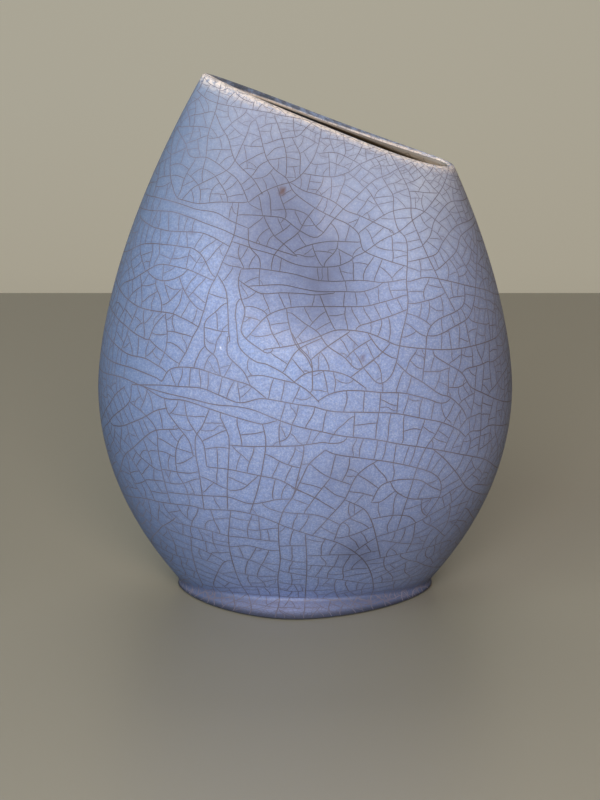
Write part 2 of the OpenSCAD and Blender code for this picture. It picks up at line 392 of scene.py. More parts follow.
def glaze_grid():
    """The outside of the glaze as fine grids of points: the foot with the body, and the lip. The crease between
    foot and body is rounded: each row near it becomes the mean of its neighbours, many times."""
    s = sizes()
    foot = foot_rows(s.columns, 8, 0.0)
    grid = np.concatenate([foot, outer_rows(s.columns, s.rows, 0.0, s.edge_drop)])
    near = bell(np.arange(len(grid)) - len(foot), CREASE_REACH, 4)[:, None, None]
    for _ in range(int(CREASE_REACH * CREASE_REACH)):
        mean = grid.copy()
        mean[1:-1] = (grid[:-2] + 2 * grid[1:-1] + grid[2:]) / 4
        grid += near * (mean - grid)
    return grid, lip_rows(s.columns, 12, 0.0)


# Meshes

def strips(start, rows, columns, inward=False):
    """Faces between neighbouring rows of a closed grid whose points begin at start."""
    i = np.arange(columns)
    j = (i + 1) % columns
    if inward:
        i, j = j, i
    low = start + np.arange(rows - 1)[:, None] * columns
    return np.stack([low + i, low + j, low + columns + j, low + columns + i], -1).reshape(-1, 4)


def fan(middle, start, columns, upward):
    """Triangles from a middle point to the row of points that begins at start."""
    i = np.arange(columns)
    j = (i + 1) % columns
    first, second = (i, j) if upward else (j, i)
    return np.stack([np.full(columns, middle), start + first, start + second], -1)


def closed_skin(name, outer, inner):
    """A closed mesh between an outer and an inner grid of rows, joined along both edges."""
    rows = np.concatenate([outer, inner[::-1]])
    points = rows.reshape(-1, 3)
    return mesh_object(name, points, strips(0, len(rows) + 1, rows.shape[1]) % len(points))


def capped_stack(name, rows):
    """A closed mesh of stacked rings with a fan of faces at each end."""
    columns, end = rows.shape[1], rows.shape[0] * rows.shape[1]
    points = np.concatenate([rows.reshape(-1, 3), rows[:1].mean(1), rows[-1:].mean(1)])
    fans = np.concatenate([fan(end, 0, columns, False), fan(end + 1, end - columns, columns, True)])
    return mesh_object(name, points, strips(0, len(rows), columns), fans)


def bag(name, outer, inner):
    """A closed mesh between two bags: their sides, their bottoms as fans, and the strip at the mouth."""
    columns = outer.shape[1]
    points = np.concatenate([outer.reshape(-1, 3), inner.reshape(-1, 3), outer[:1].mean(1), inner[:1].mean(1)])
    start, end = len(outer) * columns, len(points) - 2
    i = np.arange(columns)
    j = (i + 1) % columns
    mouth = np.stack([start - columns + i, start - columns + j, end - columns + j, end - columns + i], -1)
    quads = [strips(0, len(outer), columns), strips(start, len(inner), columns, True), mouth]
    fans = [fan(end, 0, columns, False), fan(end + 1, start, columns, True)]
    return mesh_object(name, points, np.concatenate(quads), np.concatenate(fans))


def spots_of(places, x, z):
    """The sum of soft round spots, each given as x, height, radius (mm) and strength."""
    total = np.zeros(x.shape)
    for spot_x, spot_z, radius, strength in places:
        total += strength * np.exp(-((x - spot_x * MM) ** 2 + (z - spot_z * MM) ** 2) / (radius * MM) ** 2)
    return np.clip(total, 0, 1)


def mesh_object(name, points, quads, triangles=None):
    """A smooth-shaded object from arrays of points, quads and triangles, with hard edges kept sharp."""
    mesh = bpy.data.meshes.new(name)
    triangles = np.zeros((0, 3), int) if triangles is None else triangles
    loops = np.concatenate([quads.ravel(), triangles.ravel()]).astype(np.int32)
    totals = np.concatenate([np.full(len(quads), 4), np.full(len(triangles), 3)]).astype(np.int32)
    mesh.vertices.add(len(points))
    mesh.vertices.foreach_set("co", np.ascontiguousarray(points, dtype=np.float32).ravel())
    mesh.loops.add(len(loops))
    mesh.loops.foreach_set("vertex_index", loops)
    mesh.polygons.add(len(totals))
    mesh.polygons.foreach_set("loop_start", np.concatenate([[0], np.cumsum(totals)[:-1]]).astype(np.int32))
    mesh.polygons.foreach_set("loop_total", totals)
    mesh.polygons.foreach_set("use_smooth", np.ones(len(totals), dtype=bool))
    mesh.update(calc_edges=True)
    mesh.validate()
    mesh.set_sharp_from_angle(angle=math.radians(50))
    made = bpy.data.objects.new(name, mesh)
    bpy.context.collection.objects.link(made)
    return made


def store(made, **values):
    """Stores numbers for each point of a mesh, which its material reads by name."""
    for name, numbers in values.items():
        made.data.attributes.new(name, "FLOAT", "POINT").data.foreach_set(
            "value", np.ascontiguousarray(numbers, dtype=np.float32).ravel())


def place(made, material, slot_name, node=None):
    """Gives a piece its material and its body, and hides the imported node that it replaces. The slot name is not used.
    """
    made.data.materials.append(material)
    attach(made, BODY)
    if node:
        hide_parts(node)


# Materials

class Nodes:
    """Adds shader nodes to a material and joins them, so that a material reads as a short list."""

    def __init__(self, name):
        self.material = bpy.data.materials.new(name)
        self.material.use_nodes = True
        self.tree = self.material.node_tree
        self.shader = self.tree.nodes["Principled BSDF"]
        self.object = self.tree.nodes.new("ShaderNodeTexCoord").outputs["Object"]

    def add(self, kind, inputs=(), **settings):
        """A node with settings, and inputs given as (socket, value or output) pairs."""
        node = self.tree.nodes.new("ShaderNode" + kind)
        for key, value in settings.items():
            setattr(node, key, value)
        for socket, value in inputs:
            self.join(node.inputs[socket], value)
        return node

    def join(self, socket, value):
        """Links an output to a socket, or sets the socket's value."""
        if isinstance(value, bpy.types.NodeSocket):
            self.tree.links.new(value, socket)
        else:
            socket.default_value = value

    def noise(self, scale, detail=2.0, roughness=0.5, vector=None, distortion=0.0):
        """Noise between about 0.3 and 0.7, with its scale in features a metre."""
        return self.add("TexNoise", [("Vector", vector or self.object), ("Scale", scale), ("Detail", detail),
                                     ("Roughness", roughness), ("Distortion", distortion)]).outputs["Fac"]

    def spread(self, value, low, high, to_low=0.0, to_high=1.0):
        """A value taken from one range to another, smoothly and within its ends."""
        return self.add("MapRange", [(0, value), (1, low), (2, high), (3, to_low), (4, to_high)],
                        interpolation_type="SMOOTHSTEP").outputs[0]

    def patchy(self, scale, ends, to=(0.0, 1.0), detail=3.0, roughness=0.6):
        """Noise of a scale, taken from the range between two ends to another range."""
        return self.spread(self.noise(scale, detail, roughness), *ends, *to)

    def cells(self, scale, **settings):
        """Distance to the middle of the nearest of many small cells, or as the settings say."""
        return self.add("TexVoronoi", [("Vector", self.object), ("Scale", scale)], **settings).outputs["Distance"]

    def cell_lines(self, scale, thin, thick):
        """Fine lines between small cells, fading out from a thin to a thick width."""
        return self.spread(self.cells(scale, feature="DISTANCE_TO_EDGE"), thin, thick, 0.55, 0.0)

    def times(self, a, b):
        """The product of two values."""
        return self.add("Math", [(0, a), (1, b)], operation="MULTIPLY").outputs[0]

    def plus(self, a, b):
        """The sum of two values."""
        return self.add("Math", [(0, a), (1, b)], operation="ADD").outputs[0]

    def coats(self, base, *coats):
        """A colour under a number of coats, each given as its share and its colour."""
        for share_of_coat, coat in coats:
            node = self.add("Mix", [(0, share_of_coat)], data_type="RGBA")
            for socket, value in ((6, base), (7, coat)):
                self.join(node.inputs[socket], value if isinstance(value, bpy.types.NodeSocket) else (*value, 1))
            base = node.outputs[2]
        return base

    def value_of(self, name):
        """A number that the mesh stores for each point."""
        return self.add("Attribute", attribute_name=name).outputs["Fac"]

    def bump(self, height, strength, distance):
        """Joins a bump from a height to the shader."""
        made = self.add("Bump", [("Height", height), ("Strength", strength), ("Distance", distance)])
        self.set(normal=made.outputs["Normal"])

    def set(self, **sockets):
        """Sets the shader's own sockets, or links outputs to them."""
        for name, value in sockets.items():
            self.join(self.shader.inputs[name.replace("_", " ").title().replace("Ior", "IOR")], value)


def blue_glaze():
    """Satin blue glaze: violet patches, fine grain, faint upright streaks, stained lines and edges where it breaks.
    Light is painted beside the hollow; shade is painted in it, at the sides and low on the foot.
    """
    f = finish()
    n = Nodes("crackle_glaze")
    value, times, patchy = n.value_of, n.times, n.patchy
    stretched = n.add("Mapping", [("Vector", n.object), ("Scale", (520.0, 520.0, 45.0))]).outputs["Vector"]
    streaks = n.spread(n.noise(1.0, 3.0, 0.6, stretched), 0.42, 0.68)
    cloud = patchy(160.0, (0.35, 0.7), (0.75, 1.15), roughness=0.5)
    broken = patchy(900.0, (0.34, 0.60), (0.1, 1.0), 4.0, 0.65)
    at_rim = n.spread(value("rim"), 0.0, 1.5, 1.0, 0.0)
    colour_now = n.coats(
        f.blue,
        (n.spread(n.noise(22.0, 3.0, 0.55, distortion=0.6), 0.45, 0.75, 0.0, 0.7), f.violet),
        # painted light on the bulges beside the hollow and low in front
        (value("bright"), f.bright),
        (times(streaks, 0.25), f.violet),
        (times(patchy(2000.0, (0.42, 0.62), detail=2.0), 0.60), f.pale),
        (times(patchy(1500.0, (0.44, 0.64), detail=2.0), 0.60), (0.185, 0.250, 0.470)),
        (times(patchy(850.0, (0.42, 0.66)), 0.50), (0.225, 0.260, 0.440)),
        (value("high"), (0.276, 0.285, 0.330)),
        # violet-grey patches: partly a darker glaze, mostly painted shade in the hollow and at the sides
        (times(patchy(140.0, (0.35, 0.65), (0.66, 0.86)), value("violet")), f.shadow_violet),
        # paler where the glaze thins under the rim, and painted light right of the hollow
        (times(cloud, value("thin")), f.pale),
        (times(cloud, value("lilac")), f.lilac),
        # painted shade at the sides: cyan-dark on the left, grey-brown on the right
        (value("left_side"), (0.010, 0.125, 0.260)),
        (value("right_side"), (0.200, 0.185, 0.130)),
        # painted shade on the foot's sides, low on the body's sides and in the crease over the foot
        (value("dusk"), (0.085, 0.110, 0.205)),
        (times(n.cell_lines(430.0, 0.02, 0.10), value("fine")), (0.210, 0.170, 0.190)),
        (times(value("stain"), 0.30), f.stain),
        (times(times(broken, at_rim), value("peach")), f.cream),
        (value("speck"), (0.13, 0.06, 0.04)),
        # painted contact shadow along the glaze's lower edge
        (value("dirt"), (0.025, 0.025, 0.035)))
    n.set(base_color=colour_now, roughness=patchy(900.0, (0.3, 0.7), (0.50, 0.66)),
          coat_weight=0.08, coat_roughness=0.05, specular_ior_level=0.3, ior=1.5)
    n.bump(n.plus(n.noise(420.0), times(n.noise(2400.0), 0.35)), 0.30, 0.00012)
    return n.material


def lip_material():
    """The lip's glaze: dark slate that turns bluer towards the low end, breaking cream at both edges."""
    f = finish()
    n = Nodes("lip_glaze")
    cloud = n.patchy(260.0, (0.38, 0.62), (-0.1, 0.45), roughness=0.5)
    broken = n.patchy(420.0, (0.32, 0.62), (0.45, 1.0), 4.0, 0.65)
    colour_now = n.coats(
        f.slate,
        (n.plus(n.value_of("along"), cloud), (0.26, 0.33, 0.52)),
        (n.patchy(650.0, (0.48, 0.62), (0.0, 0.65), roughness=0.5), (0.050, 0.060, 0.090)),
        (n.times(broken, n.value_of("edge")), f.cream))
    n.set(base_color=colour_now, roughness=n.patchy(900.0, (0.3, 0.7), (0.38, 0.56)),
          coat_weight=0.08, coat_roughness=0.08, ior=1.5)
    n.bump(n.noise(700.0), 0.25, 0.0001)
    return n.material


def liner_material():
    """Cream glaze inside, with fine craze lines and small pits. Painted shade darkens it with depth below the lip,
    brown and then near black.
    """
    f = finish()
    n = Nodes("liner_glaze")
    deep = n.value_of("deep")
    pooled = n.coats((0.030, 0.034, 0.045), (n.value_of("along"), f.umber))
    colour_now = n.coats(
        f.liner,
        (n.times(n.patchy(60.0, (0.35, 0.7), roughness=0.5), 0.4), (0.68, 0.54, 0.42)),
        (n.cell_lines(150.0, 0.0, 0.045), (0.22, 0.16, 0.12)),
        # painted shade: brown, then near black, with depth below the part that stays cream
        (n.spread(deep, -1.1, 0.2), (0.140, 0.090, 0.050)),
        (n.spread(deep, -0.1, 1.3), pooled),
        (n.spread(n.value_of("below"), 0.4, 1.2, 1.0, 0.0), (1.0, 0.86, 0.74)))
    n.set(base_color=colour_now, roughness=n.patchy(700.0, (0.3, 0.7), (0.35, 0.5), 2.0, 0.5),
          coat_weight=0.05, coat_roughness=0.2, specular_ior_level=0.3, ior=1.5)
    n.bump(n.noise(900.0, 3.0), 0.2, 0.0001)
    return n.material


def clay_material():
    """Bare fired clay: a dark warm brown, painted darker than the clay itself so that its bevel under the glaze reads
    as the contact shadow, with dark grog specks and a gritty surface.
    """
    n = Nodes("bare_clay")
    colour_now = n.coats(
        finish().clay,
        (n.patchy(90.0, (0.35, 0.7), detail=4.0), (0.12, 0.085, 0.065)),
        (n.spread(n.cells(700.0), 0.12, 0.24, 0.6, 0.0), (0.05, 0.035, 0.03)))
    n.set(base_color=colour_now, roughness=n.patchy(1200.0, (0.3, 0.7), (0.75, 0.95), 2.0, 0.5), ior=1.45)
    n.bump(n.noise(1800.0, 4.0, 0.7), 0.5, 0.0002)
    return n.material


def line_material():
    """Stain in the craze lines: brown-grey, darker and paler along their length, darkest in the violet-grey patches,
    where shade is painted.
    """
    f = finish()
    n = Nodes("craze_stain")
    colour_now = n.coats(
        f.stain,
        (n.times(n.patchy(70.0, (0.35, 0.7)), 0.7), f.pale_stain),
        # painted shade: the lines darken where the patches paint shade in the hollow
        (n.value_of("violet"), (0.055, 0.048, 0.065)))
    n.set(base_color=colour_now, roughness=n.patchy(1500.0, (0.3, 0.7), (0.5, 0.7), 2.0, 0.5), ior=1.45)
    return n.material


# Craze lines

def unit(vector, least=TINY):
    """A vector made one long. The least length is added to its own."""
    return vector / (np.linalg.norm(vector) + least)


def units(vectors, least=0.0):
    """The same for an array of vectors."""
    return vectors / (np.linalg.norm(vectors, axis=-1, keepdims=True) + least)


def run_along(points):
    """The way along a row of points up to each of them."""
    return np.concatenate([[0], np.cumsum(np.linalg.norm(np.diff(points, axis=0), axis=1))])


def products(p, q):
    """The dot product of each vector of one array with the same one of another."""
    return (p * q).sum(-1)


def in_grid(a, b, across, up, dot=np.matmul):
    """Shares of the two sides of a grid cell in the vector whose products with these sides are a and b."""
    e, f, g = dot(across, across), dot(across, up), dot(up, up)
    size = e * g - f * f + 1e-18
    return (a * g - b * f) / size, (b * e - a * f) / size


class CrackField:
    """The glaze's fine grid as a chart on which cracks grow. Every point knows how far it is from the nearest crack."""

    def __init__(self, grid, rng, step):
        self.grid, self.rng, self.step = grid, rng, step
        self.rows, self.columns = grid.shape[:2]
        self.across = (np.roll(grid, -1, 1) - np.roll(grid, 1, 1)) / 2
        self.up = np.gradient(grid, axis=0)
        self.normal = units(np.cross(self.across, self.up))
        rise = np.concatenate([[0], np.cumsum(np.linalg.norm(np.diff(grid, axis=0), axis=-1).mean(1))])
        self.free = np.minimum(rise, rise[-1] - rise)[:, None] + np.zeros((1, self.columns))
        self.free = np.minimum(self.free, REACH)

    def at(self, array, spot):
        """Value of a grid array at a spot (column, row), mixed from its four neighbours."""
        u, v = spot[0] % self.columns, min(max(spot[1], 0.0), self.rows - 1.001)
        i, j = int(u), int(v)
        fu, fv = u - i, v - j
        i, k = i % self.columns, (i + 1) % self.columns
        return ((array[j, i] * (1 - fu) + array[j, k] * fu) * (1 - fv)
                + (array[j + 1, i] * (1 - fu) + array[j + 1, k] * fu) * fv)

    def cell(self, u, v):
        """Row and column of the grid points under an array of spots."""
        return np.clip(v.astype(int), 0, self.rows - 1), u.astype(int) % self.columns

    def sides(self, spot):
        """The two sides of the grid cell at a spot."""
        return self.at(self.across, spot), self.at(self.up, spot)

    def points(self, spots):
        """Points and normals on the glaze for a list of spots."""
        return (np.array([self.at(self.grid, spot) for spot in spots]),
                np.array([self.at(self.normal, spot) for spot in spots]))

    def moved(self, spot, direction, distance):
        """The spot reached from a spot by a short way along the surface, and the new direction."""
        across, up = self.sides(spot)
        du, dv = in_grid(direction @ across, direction @ up, across, up)
        on = np.array([spot[0] + du * distance, spot[1] + dv * distance])
        normal = self.at(self.normal, on)
        return on, unit(direction - (direction @ normal) * normal)

    def towards_wall(self, spot):
        """The direction along the surface to the nearest crack or edge."""
        u, v = spot
        du = (self.at(self.free, (u + 1, v)) - self.at(self.free, (u - 1, v))) / 2
        dv = (self.at(self.free, (u, v + 1)) - self.at(self.free, (u, v - 1))) / 2
        across, up = self.sides(spot)
        a, b = in_grid(du, dv, across, up)
        return -unit(a * across + b * up)

    def grow(self, spot, direction, bend, room, limit=90):
        """One arm of a crack: it bends evenly, and turns to meet the next crack squarely. Returns its spots."""
        spots = []
        near = min(room, NEAR)
        for _ in range(limit):
            free = self.at(self.free, spot)
            if free < near:
                wall = self.towards_wall(spot)
                pull = 0.6 * (1 - free / near)
                direction = direction + (pull if direction @ wall > 0 else -0.7 * pull) * wall
            side = np.cross(self.at(self.normal, spot), direction)
            direction = direction + side * (bend + self.rng.normal(0, 0.22 / room)) * self.step
            spot, direction = self.moved(spot, unit(direction, 0), self.step)
            if not 0.2 < spot[1] < self.rows - 1.2:
                spots.append(np.array([spot[0], min(max(spot[1], 0.0), self.rows - 1.0)]))
                break
            spots.append(spot)
            free = self.at(self.free, spot)
            if free < TOUCH:
                spots.append(self.moved(spot, self.towards_wall(spot), free + 0.0001)[0])
                break
        return spots

    def crack(self, spot, way, curl, room):
        """A whole crack: two arms that leave a spot in opposite directions and bend the same way round."""
        bend = self.rng.normal(0, min(SHARPEST_BEND, curl / room))
        one = self.grow(spot, way, bend, room)
        return self.grow(spot, -way, -bend, room)[::-1] + [spot] + one

    def even(self, spots):
        """The same way with spots evenly spaced along the surface."""
        run = run_along(self.points(spots)[0])
        at = np.linspace(0, run[-1], int(run[-1] / LINE_SPACING) + 2)
        return np.stack([np.interp(at, run, spots[:, 0]), np.interp(at, run, spots[:, 1])], -1)

    def onward(self, spot, chart_way):
        """A main line's end, grown on until it meets another crack: first clear of the line's own end."""
        across, up = self.sides(spot)
        direction = unit(chart_way[0] * across + chart_way[1] * up)
        spots = []
        for _ in range(3):
            spot, direction = self.moved(spot, direction, self.step)
            spots.append(spot)
        if not 1 < spot[1] < self.rows - 2:
            return spots[:1]
        return spots + self.grow(spot, direction, self.rng.normal(0, 15.0), 0.0035)

    def add(self, spots, room=1.0):
        """Counts a crack as a wall: every grid point within three times its room learns its new distance."""
        spots = np.array(spots)
        reach = min(REACH, 3 * room)
        for part in np.array_split(spots, max(1, len(spots) // 12)):
            points = np.array([self.at(self.grid, spot) for spot in part])
            u, v = part[:, 0], part[:, 1]
            wide, tall = (np.linalg.norm(side) + 1e-9 for side in self.sides((np.mean(u), np.mean(v))))
            pad_u, pad_v = int(reach / wide) + 2, int(reach / tall) + 2
            columns = np.arange(int(u.min()) - pad_u, int(u.max()) + pad_u + 1)
            if len(columns) > self.columns:
                columns = np.arange(self.columns)
            rows = np.arange(max(0, int(v.min()) - pad_v), min(self.rows, int(v.max()) + pad_v + 1))
            there = (rows[:, None], columns[None, :] % self.columns)
            window = self.grid[there]
            nearest = self.free[there]
            for point in points:
                nearest = np.minimum(nearest, np.linalg.norm(window - point, axis=-1))
            self.free[there] = nearest

    def long_cells(self, spots):
        """For each spot: how much longer than wide its cell is, the length, the narrow way, the width, and how near
        the spot is to the middle of the length. Steps as long as the free distance measure the room both ways."""
        where = self.cell(spots[:, 0], spots[:, 1])
        across, up = self.across[where], self.up[where]
        first = units(across)
        second = np.cross(self.normal[where], first)
        ways, room = [], []
        for turn in np.arange(TURNS) * math.pi / TURNS:
            way = first * math.cos(turn) + second * math.sin(turn)
            du, dv = in_grid(products(way, across), products(way, up), across, up, products)
            both = []
            for sign in (1, -1):
                u, v, run = spots[:, 0].copy(), spots[:, 1].copy(), np.zeros(len(spots))
                for _ in range(12):
                    done = (v < 0) | (v > self.rows - 1) | (run > 0.03)
                    step = np.where(done, 0, self.free[self.cell(u, v)])
                    run, u, v = run + step, u + sign * du * step, v + sign * dv * step
                both.append(run)
            ways.append(way)
            room.append(both)
        ways, room = np.array(ways), np.array(room)
        whole = room.sum(1)
        narrow = whole.argmin(0)
        along = (narrow + TURNS // 2) % TURNS
        n = np.arange(len(spots))
        width, length = whole[narrow, n], whole[along, n]
        middle = room[along, :, n].min(-1) / (length + 1e-9)
        return length / (width + 1e-9), length, ways[narrow, n], width, middle

    def short_way(self, spot):
        """The direction in which the free space round a spot is narrowest."""
        across, up = self.sides(spot)
        first = unit(across, 0)
        second = np.cross(self.at(self.normal, spot), first)
        found = []
        reach = self.at(self.free, spot)
        start = self.rng.random() * math.pi / SHORT_TURNS
        for turn in start + np.arange(SHORT_TURNS) * math.pi / SHORT_TURNS:
            way = first * math.cos(turn) + second * math.sin(turn)
            du, dv = in_grid(way @ across, way @ up, across, up)
            room = 0.0
            for sign in (-1, 1):
                for k in range(2, 9):
                    ahead = sign * reach * k * 0.5
                    v = spot[1] + dv * ahead
                    if not 0 < v < self.rows - 1:
                        break
                    here = self.at(self.free, (spot[0] + du * ahead, v))
                    room += here
                    if here < 0.0008:
                        break
            found.append((room * self.rng.uniform(0.85, 1.15), way))
        return min(found, key=lambda pair: pair[0])[1]


def craze_lines(skin, lip):
    """Grows the craze lines: the main ones first along chosen ways, then shorter ones that split the widest cells.
    Each is a list of spots and its share of the main width."""
    s, c = sizes(), bpy.context.scene.vase_crackle
    rng = np.random.default_rng(c.seed)
    grid = np.concatenate([skin, lip[1:]])
    field = CrackField(grid, rng, c.step)
    foot = len(skin) - 1 - s.rows
    ways = []
    for chosen in MAIN_LINES:
        spots = follow(chosen, foot)
        ways += [field.even(spots), field.even([s.columns / 2, s.rows + 2 * foot] + spots * [1, -1])]
    places = [field.points(way)[0] for way in ways]
    for way in ways:
        field.add(way)
    lines = []
    for number, way in enumerate(ways):
        others = np.concatenate(places[:number] + places[number + 1:])
        spots = list(way)
        for end, inner in ((0, 4), (-1, -5)):
            gap = np.linalg.norm(others - places[number][end], axis=1)
            if gap.min() < JOIN:
                target = others[np.argmin(gap)] - places[number][end]
                arm = [field.moved(spots[end], target / (gap.min() + 1e-9), gap.min())[0]]
            else:
                arm = field.onward(spots[end], spots[end] - spots[inner])
                field.add(arm, ARM_ROOM)
            spots = arm[::-1] + spots if end == 0 else spots + arm
        lines.append((spots, 1.0))
    want = cell_sizes(grid)
    for _ in range(MOST_CRACKS):
        score = field.free / want
        row, column = np.unravel_index(np.argmax(score), score.shape)
        if score[row, column] < 1:
            break
        spot = np.array([column + rng.uniform(-1, 1), row + rng.uniform(-1, 1)], float)
        room = field.at(field.free, spot)
        line = field.crack(spot, field.short_way(spot), CURL, room)
        lines.append((line, min(0.97, 0.6 + room / 0.012)))
        field.add(line, room)
    return field, lines + cross_lines(field, want)


def cross_lines(field, want):
    """Short cracks across the cells that are much longer than wide, the longest first."""
    rows, columns = np.mgrid[2:field.rows - 2:3, 0:field.columns:3]
    spots = np.stack([columns.ravel(), rows.ravel()], -1) + field.rng.uniform(0, 1.5, (rows.size, 2))
    spots = spots[field.free[field.cell(spots[:, 0], spots[:, 1])] > 0.0006]
    lines = []
    for _ in range(2):
        ratio, length, _, _, middle = field.long_cells(spots)
        wanted = want[field.cell(spots[:, 0], spots[:, 1])]
        good = ratio > field.rng.uniform(LONG, LONGEST, len(spots))
        good &= (length > 2.1 * wanted) & (middle > OFF_MIDDLE)
        spots, ratio = spots[good], ratio[good]
        spots = spots[np.argsort(-ratio)]
        for spot in spots:
            now, _, way, width, middle = (value[0] for value in field.long_cells(spot[None, :]))
            if now < LONG or middle < OFF_MIDDLE or width < NARROWEST:
                continue
            line = field.crack(spot, way, CROSS_CURL, width / 2)
            lines.append((line, field.rng.uniform(0.55, 0.85)))
            field.add(line, max(width / 2, 0.002))
    return lines


def cell_sizes(grid):
    """Half width of the cells wanted at each grid point: small at the sides and under the lip, large low in front."""
    x, z = grid[..., 0], grid[..., 2]
    below_rim = np.clip(mouth_height(x) - z, 0, None)
    want = bpy.context.scene.vase_crackle.cell * (1 - 0.35 * (np.abs(x) / (sizes().belly_width / 2)) ** 3)
    want = want * (1 - 0.38 * np.exp(-below_rim / 0.045) - 0.24 * np.exp(-below_rim / 0.010))
    want = want * (1 + 0.30 * np.exp(-((x - 0.01) / 0.045) ** 2 - ((z - 0.085) / 0.035) ** 2))
    return want * (1 - 0.25 * bell(z, 0.018))


def follow(chosen, foot):
    """Spots (column, row) along a main line through chosen points on the front, joined smoothly."""
    s = sizes()
    pts = np.array(chosen, float).reshape(-1, 2) * MM
    ends = np.concatenate([2 * pts[:1] - pts[1:2], pts, 2 * pts[-1:] - pts[-2:-1]])
    length = np.sum(np.linalg.norm(np.diff(pts, axis=0), axis=1))
    t = np.linspace(0, len(pts) - 1.0001, int(length / CHOSEN_SPACING) + 2)
    k = t.astype(int)
    u = (t - k)[:, None]
    before, a, b, after = (ends[k + i] for i in range(4))
    smooth = a + u * (b - before) / 2 + u ** 2 * (2 * before - 5 * a + 4 * b - after) / 2 \
        + u ** 3 * (3 * a - before - 3 * b + after) / 2
    x, z = smooth[:, 0], np.maximum(smooth[:, 1], s.glaze_edge)
    angle = 2 * math.pi - np.arccos(np.clip(x / half_width(z), -1, 1))
    up = (z - s.foot_height) / (mouth_top(angle, 0.0) - s.edge_drop - s.foot_height)
    on_foot = foot * (z - s.glaze_edge) / (s.foot_height - s.glaze_edge)
    row = np.where(z < s.foot_height, on_foot, foot + s.rows * up)
    return np.stack([angle / (2 * math.pi) * s.columns, row], -1)


# Patches and specks on the glaze: x, height and radius in mm, and strength. Some patches are painted light, some
# painted shade.
# Violet-grey patches: partly a darker glaze, mostly painted shade in the hollow and at the sides
PATCHES = [(2, 143, 21, 0.60), (-14, 161, 18, 0.60), (8, 130, 15, 0.55), (18, 150, 14, 0.2), (-24, 140, 9, 0.3),
           (14, 66, 12, 0.4), (20, 30, 9, 0.8), (48, 152, 9, 0.3), (-70, 70, 22, 0.3), (72, 90, 22, 0.3),
           (45, 40, 20, 0.25)]
SPECKS = [(-8.5, 165.8, 1.0, 1.5), (20.5, 111, 0.8, 0.8), (21.2, 109.6, 0.6, 0.7), (-42, 152, 0.5, 0.5),
          (36, 130, 0.4, 0.5)]
# Pale patches right of the hollow: partly thinner glaze, partly painted light on the bulge there
THIN_PATCHES = [(44, 154, 20, 0.30), (47, 167, 8, 0.4)]
# Painted light: brighter patches on the bulges beside the hollow and low in front
BRIGHT_PATCHES = [(-38, 143, 16, 0.7), (42, 156, 17, 0.6), (-10, 112, 22, 0.35), (0, 94, 18, 0.15),
                  (-4, 20, 22, 0.5)]

